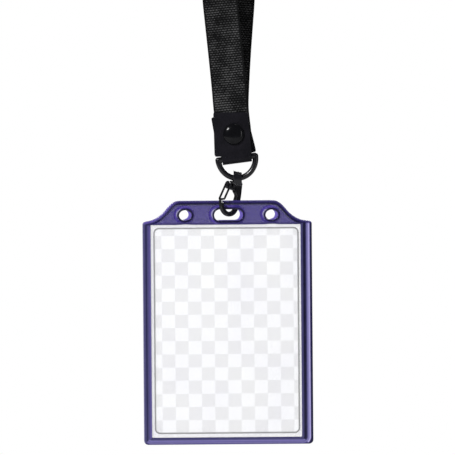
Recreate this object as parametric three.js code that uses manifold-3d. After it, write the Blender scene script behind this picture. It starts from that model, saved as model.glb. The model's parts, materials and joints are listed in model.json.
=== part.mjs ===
// A lanyard badge holder: a folded neck strap, a riveted connector tab, a D-ring, a wire-gate hook
// and a soft vinyl card holder with a card in its pocket. Millimetres, +Z up, the front faces -Y.
// The origin is the centre of the webbing at the top of the strap's loop, where the lanyard hangs.
import * as THREE from 'three';
import { mergeVertices } from 'three/addons/utils/BufferGeometryUtils.js';
import Module from 'manifold-3d';

const wasm = await Module();
wasm.setup();

// Clearances
const GAP = 0.3; // between pieces that touch or are welded on the real object
const DEG = Math.PI / 180;

// Neck strap
const STRAP_WIDTH = 18;
const STRAP_THICK = 1.2;
const STRAP_STEPS = 72;
const STRAP_END_RISE = 4.4; // strap ends above the ring bar's centre

// D-ring
const RING_X = 5.2;
const RING_BAR_Z = -103.8;
const RING_TILT = 7 * DEG; // right side up
const RING_WIRE = 3.0;
const RING_HALF = 9.55; // half the bar's length, to the centreline of the bow
const RING_DEPTH = 10.3; // from the bar to the bottom of the bow, between centrelines

// Connector tab, in the tilted frame of the ring's bar: u along the bar, w across it and up
const TAB_THICK = 1.0;
const TAB_FOLD_SIDE = 0.19; // from the fold's end to the ring's bow
const TAB_LENGTH = 23.4; // from the bar's centre to the middle of the top edge
const TAB_WIDTH = 17.6;
const TAB_CORNER = 1.0;
// How far each corner of the two layers lies from a true rectangle: the strip is not folded square.
const FRONT_SKEW = { topLeft: [-0.1, 1.0], topRight: [-0.2, -1.1], footRight: -0.9, footLeft: -2.2 };
const REAR_SKEW = { topLeft: [-1.5, -1.4], topRight: [-1.0, 0], footRight: 1.5, footLeft: -0.6 };

// Rivet
const RIVET_X = 3.6;
const RIVET_Z = -91.7;
const RIVET_CAP_RADIUS = 5.25;
const RIVET_CAP_HEIGHT = 2.3;
const RIVET_RIM = 0.6;
const RIVET_BACK_RADIUS = 4.2;
const RIVET_BACK_HEIGHT = 1.1;
const RIVET_POST_RADIUS = 1.1;
const RIVET_TUBE_WALL = 0.5;

// Hook, in its own plane: p across, towards the spine, and z up from the middle of the bend
const HOOK_YAW = 45 * DEG; // the plane of the hook, turned with its spine to the right and back
const HOOK_OFFSET_X = -3.35; // the bend's middle, from the middle of the ring
const HOOK_DROP = 18.3; // the bend's middle, below the ring's wire
const HOOK_THICK = 2.0;
const HOOK_BEVEL = 0.4;
const BEND_RADIUS = 5.4;
const BEND_WIDTH = 2.5;
const BEND_P = -1.15; // centre of the bend
const SPINE_LEAN = 1.7; // how far the spine leans out towards its top
const SPINE_TAPER = 0.8; // how much wider the spine is at its top
const BODY_TOP = 17.7;
const LOBE_BOTTOM = 12.0;
const LOBE_LEFT = -3.3;
const NOSE_RISE = 1.2; // top of the nose, above the bend's centre
const LIP_RISE = 2.2;
const LIP_WIDTH = 0.55;
const NOSE_SLOPE = 0.7; // fall of the nose's top towards the inside, under the gate's swing

// Eye of the hook, round the ring's wire: a short barrel, thicker at its left end
const EYE_X = 0.4; // middle of the eye, from the middle of the ring
const EYE_LENGTH = 4.2;
const EYE_CLEARANCE = 1.0; // hole radius, over the wire's
const EYE_TOP_GAP = 0.7;
const EYE_LEFT_RADIUS = 4.2;
const EYE_RIGHT_RADIUS = 3.6;
const EYE_LEFT_RISE = 0.1; // middle of each end, over the middle of the hole
const EYE_RIGHT_RISE = -0.2;

// Wire gate
const GATE_WIRE = 1.1;
const GATE_PIVOT_P = -0.7;
const GATE_PIVOT_Z = 16.5;
const GATE_END_P = -6.3;
const GATE_END_Z = 7.7;
const GATE_PIN_REACH = 0.55; // how near the hook's middle plane each wire end comes

// Card holder
const HOLDER_Y = -0.5;
const HOLDER_WIDTH = 86.2;
const HOLDER_TOP = -125.4;
const HOLDER_BOTTOM = -249.5;
const HEAD_X = -0.6; // middle of the head, from the middle of the holder
const HEAD_TOP_HALF = 23.5; // half the straight top edge
const HEAD_MIDDLE_HALF = 31.6; // half width at the middle of the shoulders' S-curve
const HEAD_MIDDLE_DROP = 5.6;
const HEAD_FOOT_HALF = 40.6;
const HEAD_DROP = 10.4; // height of the S-curve
const OUTER_CORNER = 2.2;
const RAIL_HALF_THICK = 1.4;
const BEAD_HALF_THICK = 1.05; // of the bead round the hanging panel
const PANEL_HALF_THICK = 0.8;
const HALF_SEAM = 0.15; // half the gap between the front and the rear frame
const BEAD_WIDTH = 2.0;
const PANEL_HEIGHT = 12.4; // hanging panel, from the top edge down to the window

// Window and pocket
const WINDOW_LEFT = 3.75; // width of the left rail
const WINDOW_RIGHT = 5.3; // width of the right rail, which has the pocket's mouth
const WINDOW_BOTTOM = 3.7; // height of the bottom rail
const SHEET_THICK = 0.25;
const SHEET_MARGIN = 1.5; // how far a clear sheet runs behind the frame's lip
const CARD_WIDTH = 74;
const CARD_HEIGHT = 105;
const CARD_THICK = 0.4;
const CARD_CORNER = 2.8;
const CARD_LEFT_GAP = 1.75;
const CARD_BOTTOM_GAP = 1.7;

// Punched holes of the hanging panel
const HOLES_X = 0.8; // middle of the slot, from the middle of the holder
const HOLE_SPACING = 44;
const HOLE_RADIUS = 2.9;
const HOLE_DROP = 7.5;
const SLOT_WIDTH = 14.6;
const SLOT_HEIGHT = 5.8;
const LIP_RING = 1.1; // width of the raised lip round each hole
const LIP_HEIGHT = 0.2;

// ---------------------------------------------------------------------------------------------
// Solids and placing

function solid(geometry) {
  const bare = geometry.index ? geometry.toNonIndexed() : geometry.clone();
  bare.deleteAttribute('normal');
  bare.deleteAttribute('uv');
  const merged = mergeVertices(bare, 1e-4);
  const corners = merged.index.array;
  const kept = [];
  for (let i = 0; i < corners.length; i += 3) {
    const [a, b, c] = [corners[i], corners[i + 1], corners[i + 2]];
    if (a !== b && b !== c && c !== a) {
      kept.push(a, b, c);
    }
  }
  return new wasm.Manifold(new wasm.Mesh({
    numProp: 3,
    vertProperties: new Float32Array(merged.attributes.position.array),
    triVerts: new Uint32Array(kept),
  }));
}

function geometryOf(manifold) {
  const mesh = manifold.getMesh();
  const geometry = new THREE.BufferGeometry();
  geometry.setAttribute('position', new THREE.BufferAttribute(mesh.vertProperties, 3));
  geometry.setIndex(new THREE.BufferAttribute(mesh.triVerts, 1));
  geometry.computeVertexNormals();
  return geometry;
}

function union(...geometries) {
  return geometries.map(solid).reduce((all, next) => all.add(next));
}

// A shape drawn in X and Z, given a thickness from y0 to y1.
function plate(shape, y0, y1, bevel = 0) {
  const geometry = new THREE.ExtrudeGeometry(shape, {
    depth: y1 - y0 - 2 * bevel,
    bevelEnabled: bevel > 0,
    bevelThickness: bevel,
    bevelSize: bevel,
    bevelOffset: -bevel,
    bevelSegments: 1,
    curveSegments: 10,
  });
  geometry.rotateX(Math.PI / 2);
  geometry.translate(0, y1 - bevel, 0);
  return geometry;
}

function box(x0, x1, y0, y1, z0, z1) {
  const geometry = new THREE.BoxGeometry(x1 - x0, y1 - y0, z1 - z0);
  geometry.translate((x0 + x1) / 2, (y0 + y1) / 2, (z0 + z1) / 2);
  return geometry;
}

function cylinderAlongY(radius, y0, y1, x, z, sides = 32) {
  const geometry = new THREE.CylinderGeometry(radius, radius, y1 - y0, sides);
  geometry.translate(x, (y0 + y1) / 2, z);
  return geometry;
}

function cylinderAlongX(radius, length, sides = 32) {
  const geometry = new THREE.CylinderGeometry(radius, radius, length, sides);
  geometry.rotateZ(Math.PI / 2);
  return geometry;
}

// Straight runs between the corner points, with a rounded bend at each corner.
function bentWire(points, bendRadius) {
  const path = new THREE.CurvePath();
  let from = points[0];
  for (let i = 1; i < points.length - 1; i += 1) {
    const corner = points[i];
    const before = corner.clone().lerp(points[i - 1], bendRadius / corner.distanceTo(points[i - 1]));
    const after = corner.clone().lerp(points[i + 1], bendRadius / corner.distanceTo(points[i + 1]));
    path.add(new THREE.LineCurve3(from, before));
    path.add(new THREE.QuadraticBezierCurve3(before, corner, after));
    from = after;
  }
  path.add(new THREE.LineCurve3(from, points[points.length - 1]));
  return path;
}

function circle(radius, sides) {
  const shape = new THREE.Shape();
  for (let i = 0; i < sides; i += 1) {
    const angle = (i / sides) * 2 * Math.PI;
    const point = [radius * Math.cos(angle), radius * Math.sin(angle)];
    if (i === 0) {
      shape.moveTo(...point);
    } else {
      shape.lineTo(...point);
    }
  }
  shape.closePath();
  return shape;
}

function roundedRectangle(x0, x1, z0, z1, r) {
  const shape = new THREE.Shape();
  shape.moveTo(x0 + r, z0);
  shape.lineTo(x1 - r, z0);
  shape.absarc(x1 - r, z0 + r, r, -Math.PI / 2, 0, false);
  shape.lineTo(x1, z1 - r);
  shape.absarc(x1 - r, z1 - r, r, 0, Math.PI / 2, false);
  shape.lineTo(x0 + r, z1);
  shape.absarc(x0 + r, z1 - r, r, Math.PI / 2, Math.PI, false);
  shape.lineTo(x0, z0 + r);
  shape.absarc(x0 + r, z0 + r, r, Math.PI, 1.5 * Math.PI, false);
  return shape;
}

function named(name, geometry, material) {
  const mesh = new THREE.Mesh(geometry, material);
  mesh.name = name;
  return mesh;
}

// ---------------------------------------------------------------------------------------------
// Materials

const webbing = new THREE.MeshStandardMaterial({ color: 0x1d1d20, roughness: 0.85 });
const tabMaterial = new THREE.MeshStandardMaterial({ color: 0x18181c, roughness: 0.55 });
const blackMetal = new THREE.MeshStandardMaterial({ color: 0x0b0b0d, roughness: 0.2, metalness: 0.6 });
const wireMetal = new THREE.MeshStandardMaterial({ color: 0x101014, roughness: 0.25, metalness: 0.7 });
const vinyl = new THREE.MeshStandardMaterial({ color: 0x3f3872, roughness: 0.25 });
const clearVinyl = new THREE.MeshStandardMaterial({
  color: 0xf2f4f6,
  roughness: 0.1,
  transparent: true,
  opacity: 0.25,
});
const cardStock = new THREE.MeshStandardMaterial({ color: 0xf4f4f2, roughness: 0.6 });

// ---------------------------------------------------------------------------------------------
// Neck strap

// Where the webbing runs: out of the tab, up the front leg, over the loop and down the rear leg.
const STRAP_ROUTE = [
  [4.7, -0.75, RING_BAR_Z + STRAP_END_RISE],
  [3.5, -0.75, -89],
  [2.4, -0.8, -78.4],
  [1.4, -1.7, -66],
  [-0.1, -4.0, -50],
  [-1.5, -7.2, -36],
  [-2.7, -10.3, -23.4],
  [-3.2, -12.0, -13],
  [-2.6, -10.6, -5.6],
  [-1.5, -6.2, -1.3],
  [0.8, 0, 0],
  [3.2, 6.2, -1.3],
  [5.6, 10.6, -5.6],
  [6.5, 12.0, -13],
  [6.1, 10.3, -23.4],
  [5.1, 7.2, -36],
  [4.0, 4.0, -50],
  [3.0, 1.7, -66],
  [2.6, 0.8, -78.4],
  [3.6, 0.75, -89],
  [4.7, 0.75, RING_BAR_Z + STRAP_END_RISE],
];

// The webbing stays level across its width, so its frames are built from the X axis.
class StrapCurve extends THREE.CatmullRomCurve3 {
  computeFrenetFrames(segments) {
    const tangents = [];
    const normals = [];
    const binormals = [];
    const across = new THREE.Vector3(1, 0, 0);
    for (let i = 0; i <= segments; i += 1) {
      const tangent = this.getTangentAt(i / segments);
      const side = across.clone().addScaledVector(tangent, -across.dot(tangent)).normalize();
      tangents.push(tangent);
      normals.push(side);
      binormals.push(new THREE.Vector3().crossVectors(tangent, side));
    }
    return { tangents, normals, binormals };
  }
}

function webbingSection() {
  const halfWidth = STRAP_WIDTH / 2;
  const halfThick = STRAP_THICK / 2;
  const edge = halfThick / 2;
  const shape = new THREE.Shape();
  shape.moveTo(-halfWidth + edge, -halfThick);
  shape.lineTo(halfWidth - edge, -halfThick);
  shape.lineTo(halfWidth, -halfThick + edge);
  shape.lineTo(halfWidth, halfThick - edge);
  shape.lineTo(halfWidth - edge, halfThick);
  shape.lineTo(-halfWidth + edge, halfThick);
  shape.lineTo(-halfWidth, halfThick - edge);
  shape.lineTo(-halfWidth, -halfThick + edge);
  shape.closePath();
  return shape;
}

const RIVET_TUBE_RADIUS = RIVET_POST_RADIUS + GAP + RIVET_TUBE_WALL;
const RIVET_HOLE_RADIUS = RIVET_TUBE_RADIUS + GAP;

function rivetHole() {
  return solid(cylinderAlongY(RIVET_HOLE_RADIUS, -8, 8, RIVET_X, RIVET_Z, 24));
}

function neckStrap() {
  const route = new StrapCurve(STRAP_ROUTE.map((point) => new THREE.Vector3(...point)));
  const ribbon = new THREE.ExtrudeGeometry(webbingSection(), {
    steps: STRAP_STEPS,
    extrudePath: route,
  });
  return geometryOf(solid(ribbon).subtract(rivetHole()));
}

// ---------------------------------------------------------------------------------------------
// Connector tab: one strip folded round the ring's bar, its two layers leaning a little apart

const FOLD_INNER = RING_WIRE / 2 + GAP;
const FOLD_OUTER = FOLD_INNER + TAB_THICK;
// the bow closes in below the bar, so it sets how wide the fold may be
const BOW_HALF_AT_FOLD = RING_HALF * Math.sqrt(1 - (FOLD_OUTER / RING_DEPTH) ** 2) - RING_WIRE / 2;
const TAB_FOLD_WIDTH = 2 * (BOW_HALF_AT_FOLD - TAB_FOLD_SIDE);

function tabLayer(skew) {
  const half = TAB_WIDTH / 2;
  const foot = FOLD_INNER + 0.25;
  const waist = TAB_FOLD_WIDTH / 2;
  const outline = [
    [waist, -0.1],
    [waist, foot],
    [half + skew.footRight, foot + 0.3],
    [half + skew.topRight[0], TAB_LENGTH + skew.topRight[1]],
    [-half + skew.topLeft[0], TAB_LENGTH + skew.topLeft[1]],
    [-half + skew.footLeft, foot + 1.2],
    [-half + skew.footLeft * 0.8, foot + 0.3],
    [-waist, foot],
    [-waist, -0.1],
  ];
  const shape = new THREE.Shape();
  shape.moveTo(...outline[0]);
  for (let i = 1; i < outline.length - 1; i += 1) {
    const corner = new THREE.Vector2(...outline[i]);
    const before = new THREE.Vector2(...outline[i - 1]);
    const after = new THREE.Vector2(...outline[i + 1]);
    const reach = Math.min(TAB_CORNER, corner.distanceTo(before) / 3, corner.distanceTo(after) / 3);
    const start = corner.clone().lerp(before, reach / corner.distanceTo(before));
    const end = corner.clone().lerp(after, reach / corner.distanceTo(after));
    shape.lineTo(start.x, start.y);
    shape.quadraticCurveTo(corner.x, corner.y, end.x, end.y);
  }
  shape.lineTo(...outline[outline.length - 1]);
  return shape;
}

function foldSection() {
  const shape = new THREE.Shape();
  shape.moveTo(-FOLD_OUTER, 0);
  shape.absarc(0, 0, FOLD_OUTER, Math.PI, 2 * Math.PI, false);
  shape.lineTo(FOLD_INNER, 0);
  shape.absarc(0, 0, FOLD_INNER, 0, Math.PI, true);
  return shape;
}

function connectorTab() {
  const fold = new THREE.ExtrudeGeometry(foldSection(), {
    depth: TAB_FOLD_WIDTH,
    bevelEnabled: false,
    curveSegments: 14,
  });
  // drawn in Y and Z, running along X
  fold.applyMatrix4(new THREE.Matrix4().makeBasis(
    new THREE.Vector3(0, 1, 0),
    new THREE.Vector3(0, 0, 1),
    new THREE.Vector3(1, 0, 0),
  ));
  fold.translate(-TAB_FOLD_WIDTH / 2, 0, 0);
  const front = plate(tabLayer(FRONT_SKEW), -FOLD_OUTER, -FOLD_INNER);
  const rear = plate(tabLayer(REAR_SKEW), FOLD_INNER, FOLD_OUTER);
  const strip = union(fold, front, rear);
  const hole = rivetHole().translate([-RING_X, 0, -RING_BAR_Z]).rotate([0, RING_TILT / DEG, 0]);
  return geometryOf(strip.subtract(hole));
}

// ---------------------------------------------------------------------------------------------
// Rivet: a domed cap with a post, and a flatter back cap with the tube that the post is set in

function turned(profile, x, z) {
  const geometry = new THREE.LatheGeometry(profile.map((point) => new THREE.Vector2(...point)), 36);
  geometry.translate(x, 0, z);
  return geometryOf(solid(geometry));
}

// Radius against Y, from the tip of the post to the crown of the dome.
function rivetCap() {
  const seat = -FOLD_OUTER - GAP;
  const profile = [[0, FOLD_OUTER - 0.4], [RIVET_POST_RADIUS, FOLD_OUTER - 0.4], [RIVET_POST_RADIUS, seat]];
  profile.push([RIVET_CAP_RADIUS, seat]);
  const domeRise = RIVET_CAP_HEIGHT - RIVET_RIM;
  for (let i = 0; i <= 7; i += 1) {
    const angle = (i / 8) * (Math.PI / 2);
    profile.push([RIVET_CAP_RADIUS * Math.cos(angle), seat - RIVET_RIM - domeRise * Math.sin(angle)]);
  }
  profile.push([0, seat - RIVET_CAP_HEIGHT]);
  return turned(profile.reverse(), RIVET_X, RIVET_Z);
}

function rivetBack() {
  const seat = FOLD_OUTER + GAP;
  const bore = RIVET_POST_RADIUS + GAP;
  const mouth = -FOLD_OUTER + 0.6;
  const profile = [
    [0, seat + RIVET_BACK_HEIGHT],
    [RIVET_BACK_RADIUS * 0.7, seat + RIVET_BACK_HEIGHT * 0.85],
    [RIVET_BACK_RADIUS, seat + RIVET_BACK_HEIGHT * 0.35],
    [RIVET_BACK_RADIUS, seat],
    [RIVET_TUBE_RADIUS, seat],
    [RIVET_TUBE_RADIUS, mouth],
    [bore, mouth],
    [bore, seat + 0.2],
    [0, seat + 0.2],
  ];
  return turned(profile.reverse(), RIVET_X, RIVET_Z);
}

// ---------------------------------------------------------------------------------------------
// D-ring, in the tilted frame of its bar

function bowPath() {
  const points = [];
  for (let i = 0; i <= 28; i += 1) {
    const angle = Math.PI + (i / 28) * Math.PI;
    points.push(new THREE.Vector3(RING_HALF * Math.cos(angle), 0, RING_DEPTH * Math.sin(angle)));
  }
  return new THREE.CatmullRomCurve3(points);
}

function dRing() {
  const radius = RING_WIRE / 2;
  const bow = new THREE.ExtrudeGeometry(circle(radius, 12), { steps: 48, extrudePath: bowPath() });
  const corner = () => new THREE.SphereGeometry(radius * 1.02, 16, 10);
  return geometryOf(union(
    bow,
    cylinderAlongX(radius, 2 * RING_HALF, 16),
    corner().translate(-RING_HALF, 0, 0),
    corner().translate(RING_HALF, 0, 0),
  ));
}

// ---------------------------------------------------------------------------------------------
// Hook, drawn in its own plane

const BEND_OUTER = BEND_RADIUS + BEND_WIDTH / 2;
const BEND_INNER = BEND_RADIUS - BEND_WIDTH / 2;

function hookOutline() {
  const right = BEND_P + BEND_OUTER;
  const inside = BEND_P + BEND_INNER;
  const innerLean = SPINE_LEAN - SPINE_TAPER;
  const noseTop = BEND_RADIUS + NOSE_RISE;
  const shape = new THREE.Shape();
  shape.moveTo(BEND_P - BEND_OUTER, BEND_RADIUS);
  shape.absarc(BEND_P, BEND_RADIUS, BEND_OUTER, Math.PI, 2 * Math.PI, false);
  shape.lineTo(right + SPINE_LEAN, BODY_TOP - 2);
  shape.quadraticCurveTo(right + SPINE_LEAN, BODY_TOP, right, BODY_TOP);
  shape.lineTo(LOBE_LEFT + 2.6, BODY_TOP);
  shape.quadraticCurveTo(LOBE_LEFT + 1.4, BODY_TOP, LOBE_LEFT + 1.1, BODY_TOP - 1.2);
  shape.lineTo(LOBE_LEFT, LOBE_BOTTOM + 2.6);
  shape.quadraticCurveTo(LOBE_LEFT - 0.1, LOBE_BOTTOM + 1.4, LOBE_LEFT + 1.1, LOBE_BOTTOM + 1.0);
  shape.lineTo(inside + innerLean - 2.2, LOBE_BOTTOM);
  shape.quadraticCurveTo(inside + innerLean, LOBE_BOTTOM - 0.6, inside + innerLean, LOBE_BOTTOM - 3);
  shape.lineTo(inside, BEND_RADIUS);
  shape.absarc(BEND_P, BEND_RADIUS, BEND_INNER, 0, -Math.PI, true);
  shape.lineTo(BEND_P - BEND_INNER, noseTop - NOSE_SLOPE);
  shape.lineTo(BEND_P - BEND_OUTER, noseTop);
  shape.closePath();
  return shape;
}

// The lip on the outer side of the nose, which keeps the closed gate on its seat.
function noseLip() {
  const left = BEND_P - BEND_OUTER;
  const half = HOOK_THICK / 2 - HOOK_BEVEL;
  return box(left, left + LIP_WIDTH, -half, half, BEND_RADIUS - 0.4, BEND_RADIUS + LIP_RISE);
}

// Places a piece that is built along X round the ring's wire into the turned frame of the hook.
function atEye(geometry, z) {
  geometry.rotateZ(-HOOK_YAW);
  const across = EYE_X - HOOK_OFFSET_X;
  geometry.translate(across * Math.cos(HOOK_YAW), -across * Math.sin(HOOK_YAW), z);
  return geometry;
}

// The barrel's two ends differ in size and height, so its top slopes down to the right.
function eyeBarrel(z) {
  const geometry = new THREE.CylinderGeometry(EYE_LEFT_RADIUS, EYE_RIGHT_RADIUS, EYE_LENGTH, 28);
  geometry.rotateZ(Math.PI / 2);
  const position = geometry.attributes.position;
  for (let i = 0; i < position.count; i += 1) {
    const rise = position.getX(i) < 0 ? EYE_LEFT_RISE : EYE_RIGHT_RISE;
    position.setZ(i, position.getZ(i) + rise);
  }
  return atEye(geometry, z);
}

function hookBody() {
  const holeRadius = RING_WIRE / 2 + EYE_CLEARANCE;
  const holeZ = HOOK_DROP + RING_WIRE / 2 + EYE_TOP_GAP - holeRadius;
  const hole = atEye(cylinderAlongX(holeRadius, EYE_LENGTH + 12, 28), holeZ);
  const body = plate(hookOutline(), -HOOK_THICK / 2, HOOK_THICK / 2, HOOK_BEVEL);
  const pinHole = cylinderAlongY(GATE_WIRE / 2 + GAP, -3, 3, GATE_PIVOT_P, GATE_PIVOT_Z, 20);
  const whole = union(body, noseLip(), eyeBarrel(holeZ));
  return geometryOf(whole.subtract(solid(hole)).subtract(solid(pinHole)));
}

// ---------------------------------------------------------------------------------------------
// Wire gate: two legs, one on each face of the hook, joined by a cross bar above the nose

function wireGate() {
  const leg = HOOK_THICK / 2 + GAP + GATE_WIRE / 2;
  const points = [
    [GATE_PIVOT_P, -GATE_PIN_REACH, GATE_PIVOT_Z],
    [GATE_PIVOT_P, -leg, GATE_PIVOT_Z],
    [GATE_END_P, -leg, GATE_END_Z],
    [GATE_END_P, leg, GATE_END_Z],
    [GATE_PIVOT_P, leg, GATE_PIVOT_Z],
    [GATE_PIVOT_P, GATE_PIN_REACH, GATE_PIVOT_Z],
  ].map((point) => new THREE.Vector3(...point));
  const wire = new THREE.ExtrudeGeometry(circle(GATE_WIRE / 2, 10), {
    steps: 64,
    extrudePath: bentWire(points, 0.6),
  });
  return geometryOf(solid(wire));
}

// ---------------------------------------------------------------------------------------------
// Card holder

const HOLDER_HALF = HOLDER_WIDTH / 2;
const WINDOW = {
  x0: -HOLDER_HALF + WINDOW_LEFT,
  x1: HOLDER_HALF - WINDOW_RIGHT,
  z0: HOLDER_BOTTOM + WINDOW_BOTTOM,
  z1: HOLDER_TOP - PANEL_HEIGHT,
};
const CARD = {
  x0: WINDOW.x0 + CARD_LEFT_GAP,
  x1: WINDOW.x0 + CARD_LEFT_GAP + CARD_WIDTH,
  z0: WINDOW.z0 + CARD_BOTTOM_GAP,
  z1: WINDOW.z0 + CARD_BOTTOM_GAP + CARD_HEIGHT,
};
const SHEET_OUTER = CARD_THICK / 2 + GAP + SHEET_THICK;
const HOLE_Z = HOLDER_TOP - HOLE_DROP;

// One shoulder's S-curve, from the straight top edge outwards, as bezier points of half width and
// height. It is drawn inwards by the inset.
function shoulderPoints(inset) {
  const top = HOLDER_TOP - inset;
  const foot = HOLDER_TOP - HEAD_DROP - inset;
  const middleX = HEAD_MIDDLE_HALF - 0.74 * inset;
  const middleZ = HOLDER_TOP - HEAD_MIDDLE_DROP - 0.67 * inset;
  return [
    [HEAD_TOP_HALF - 0.25 * inset, top],
    [HEAD_TOP_HALF + 4 - 0.4 * inset, top],
    [middleX - 2.4, middleZ + 2.64],
    [middleX, middleZ],
    [middleX + 2.4, middleZ - 2.64],
    [(middleX + HEAD_FOOT_HALF) / 2 + 0.8, foot + 0.45],
    [HEAD_FOOT_HALF, foot],
  ];
}

function holderOutline(inset) {
  const bottom = HOLDER_BOTTOM + inset;
  const half = HOLDER_HALF - inset;
  const corner = Math.max(OUTER_CORNER - inset, 0.4);
  const right = shoulderPoints(inset).map(([x, z]) => [HEAD_X + x, z]);
  const left = shoulderPoints(inset).map(([x, z]) => [HEAD_X - x, z]);
  const foot = right[6][1];
  const shape = new THREE.Shape();
  shape.moveTo(-half + corner, bottom);
  shape.lineTo(half - corner, bottom);
  shape.absarc(half - corner, bottom + corner, corner, -Math.PI / 2, 0, false);
  shape.lineTo(half, foot - 1.8);
  shape.quadraticCurveTo(half, foot - 0.4, half - 1.4, foot - 0.2);
  shape.lineTo(...right[6]);
  shape.bezierCurveTo(...right[5], ...right[4], ...right[3]);
  shape.bezierCurveTo(...right[2], ...right[1], ...right[0]);
  shape.lineTo(...left[0]);
  shape.bezierCurveTo(...left[1], ...left[2], ...left[3]);
  shape.bezierCurveTo(...left[4], ...left[5], ...left[6]);
  shape.lineTo(-half + 1.4, foot - 0.2);
  shape.quadraticCurveTo(-half, foot - 0.4, -half, foot - 1.8);
  shape.lineTo(-half, bottom + corner);
  shape.absarc(-half + corner, bottom + corner, corner, Math.PI, 1.5 * Math.PI, false);
  return shape;
}

function roundHole(x, radius) {
  const shape = new THREE.Shape();
  shape.absarc(x, HOLE_Z, radius, 0, 2 * Math.PI, false);
  return shape;
}

function slotHole(grow) {
  const halfHeight = SLOT_HEIGHT / 2 + grow;
  const halfWidth = SLOT_WIDTH / 2 + grow;
  const corner = halfHeight - 0.01;
  return roundedRectangle(
    HOLES_X - halfWidth,
    HOLES_X + halfWidth,
    HOLE_Z - halfHeight,
    HOLE_Z + halfHeight,
    corner,
  );
}

function holeShapes(grow) {
  return [
    roundHole(HOLES_X - HOLE_SPACING / 2, HOLE_RADIUS + grow),
    roundHole(HOLES_X + HOLE_SPACING / 2, HOLE_RADIUS + grow),
    slotHole(grow),
  ];
}

// One coloured layer. It is built for the rear, and the front layer is its mirror image.
function frameLayer() {
  const full = RAIL_HALF_THICK;
  const bead = BEAD_HALF_THICK;
  const panel = PANEL_HALF_THICK;
  const past = full + 1;
  const margin = SHEET_MARGIN + GAP;
  let layer = solid(plate(holderOutline(0), HALF_SEAM, full));
  // the head is thinner than the rails, and its panel lies lower than the bead that runs round it
  const headZ = WINDOW.z1 + margin + 0.5;
  const head = solid(box(-HOLDER_HALF - 1, HOLDER_HALF + 1, bead, past, headZ, HOLDER_TOP + 1));
  const panelOnly = solid(box(-HOLDER_HALF, HOLDER_HALF, panel, past, headZ, HOLDER_TOP));
  const recess = solid(plate(holderOutline(BEAD_WIDTH), panel, past));
  layer = layer.subtract(head).subtract(recess.intersect(panelOnly));
  for (const lip of holeShapes(LIP_RING)) {
    layer = layer.add(solid(plate(lip, panel - 0.2, panel + LIP_HEIGHT)));
  }
  for (const hole of holeShapes(0)) {
    layer = layer.subtract(solid(plate(hole, -past, past)));
  }
  // the window, the rebate behind its edge that holds the clear sheet, and the pocket's mouth
  const opening = box(WINDOW.x0, WINDOW.x1, -past, past, WINDOW.z0, WINDOW.z1);
  const rebate = box(
    WINDOW.x0 - margin,
    WINDOW.x1 + margin,
    -past,
    SHEET_OUTER + GAP,
    WINDOW.z0 - margin,
    WINDOW.z1 + margin,
  );
  const mouth = box(
    WINDOW.x1 - 1,
    HOLDER_HALF + 1,
    -past,
    CARD_THICK / 2 + GAP,
    CARD.z0 - 0.6,
    CARD.z1 + 0.6,
  );
  return layer.subtract(solid(opening)).subtract(solid(rebate)).subtract(solid(mouth));
}

// A clear sheet, drawn for the rear.
function clearSheet() {
  const shape = roundedRectangle(
    WINDOW.x0 - SHEET_MARGIN,
    WINDOW.x1 + SHEET_MARGIN,
    WINDOW.z0 - SHEET_MARGIN,
    WINDOW.z1 + SHEET_MARGIN,
    1.2,
  );
  return solid(plate(shape, SHEET_OUTER - SHEET_THICK, SHEET_OUTER));
}

function insertCard() {
  const shape = roundedRectangle(CARD.x0, CARD.x1, CARD.z0, CARD.z1, CARD_CORNER);
  return solid(plate(shape, -CARD_THICK / 2, CARD_THICK / 2));
}

// ---------------------------------------------------------------------------------------------
// The assembly

function strapAndTab() {
  const group = new THREE.Group();
  const barFrame = new THREE.Group();
  barFrame.position.set(RING_X, 0, RING_BAR_Z);
  barFrame.rotation.y = -RING_TILT;
  barFrame.add(named('connector_tab', connectorTab(), tabMaterial));
  barFrame.add(named('d_ring', dRing(), blackMetal));
  group.add(named('neck_strap', neckStrap(), webbing));
  group.add(named('rivet_cap', rivetCap(), blackMetal));
  group.add(named('rivet_back', rivetBack(), blackMetal));
  group.add(barFrame);
  return group;
}

function hookAndGate() {
  const group = new THREE.Group();
  group.position.set(RING_X + HOOK_OFFSET_X, 0, RING_BAR_Z - RING_DEPTH - HOOK_DROP);
  group.rotation.z = HOOK_YAW;
  group.add(named('hook_body', hookBody(), blackMetal));
  group.add(named('wire_gate', wireGate(), wireMetal));
  return group;
}

function cardHolder() {
  const group = new THREE.Group();
  group.position.y = HOLDER_Y;
  const rear = frameLayer();
  const sheet = clearSheet();
  group.add(named('rear_frame', geometryOf(rear), vinyl));
  group.add(named('front_frame', geometryOf(rear.mirror([0, 1, 0])), vinyl));
  group.add(named('rear_window', geometryOf(sheet), clearVinyl));
  group.add(named('front_window', geometryOf(sheet.mirror([0, 1, 0])), clearVinyl));
  group.add(named('insert_card', geometryOf(insertCard()), cardStock));
  return group;
}

const badgeHolder = new THREE.Group();
badgeHolder.add(strapAndTab(), hookAndGate(), cardHolder());

export default badgeHolder;
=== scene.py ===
"""Looks of the lanyard badge holder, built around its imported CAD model. Metres, +Z up, front faces -Y."""
import json
import math

import bmesh
import bpy
import numpy as np
from mathutils import Matrix, Vector, noise


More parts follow.
